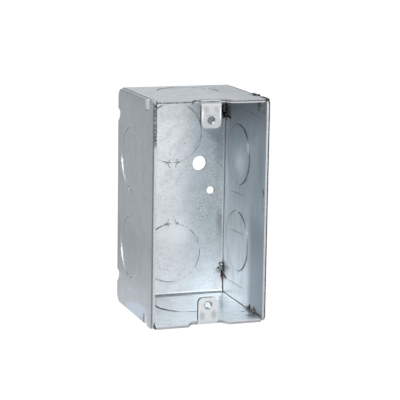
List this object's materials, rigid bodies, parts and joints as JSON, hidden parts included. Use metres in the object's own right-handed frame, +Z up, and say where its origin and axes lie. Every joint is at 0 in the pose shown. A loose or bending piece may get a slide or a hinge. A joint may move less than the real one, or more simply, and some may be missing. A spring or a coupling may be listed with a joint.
{
  "type": "rectangular electrical box",
  "caption": "Welded sheet-steel utility box, open in front, with knockouts in every wall and two folded tabs for the device screws.",
  "frame": {"origin": "middle of the footprint, on the surface that the box stands on", "axes": "+Z up along the box's height, +X to the right seen from the open front, the open front faces -Y"},
  "size_m": [0.054, 0.054, 0.1016],
  "materials": {
    "strip_steel": "bright galvanised sheet, smooth, faintly streaked along the rolling direction",
    "plate_steel": "galvanised sheet with faint streaks and weld scorch at the notches",
    "weld_metal": "rough weld bead, dark with bright spots"
  },
  "bodies": {
    "root": {"bent_strip": "strip_steel", "left_side_plate": "plate_steel", "right_side_plate": "plate_steel", "weld_beads": "weld_metal"}
  },
  "joints": []
}
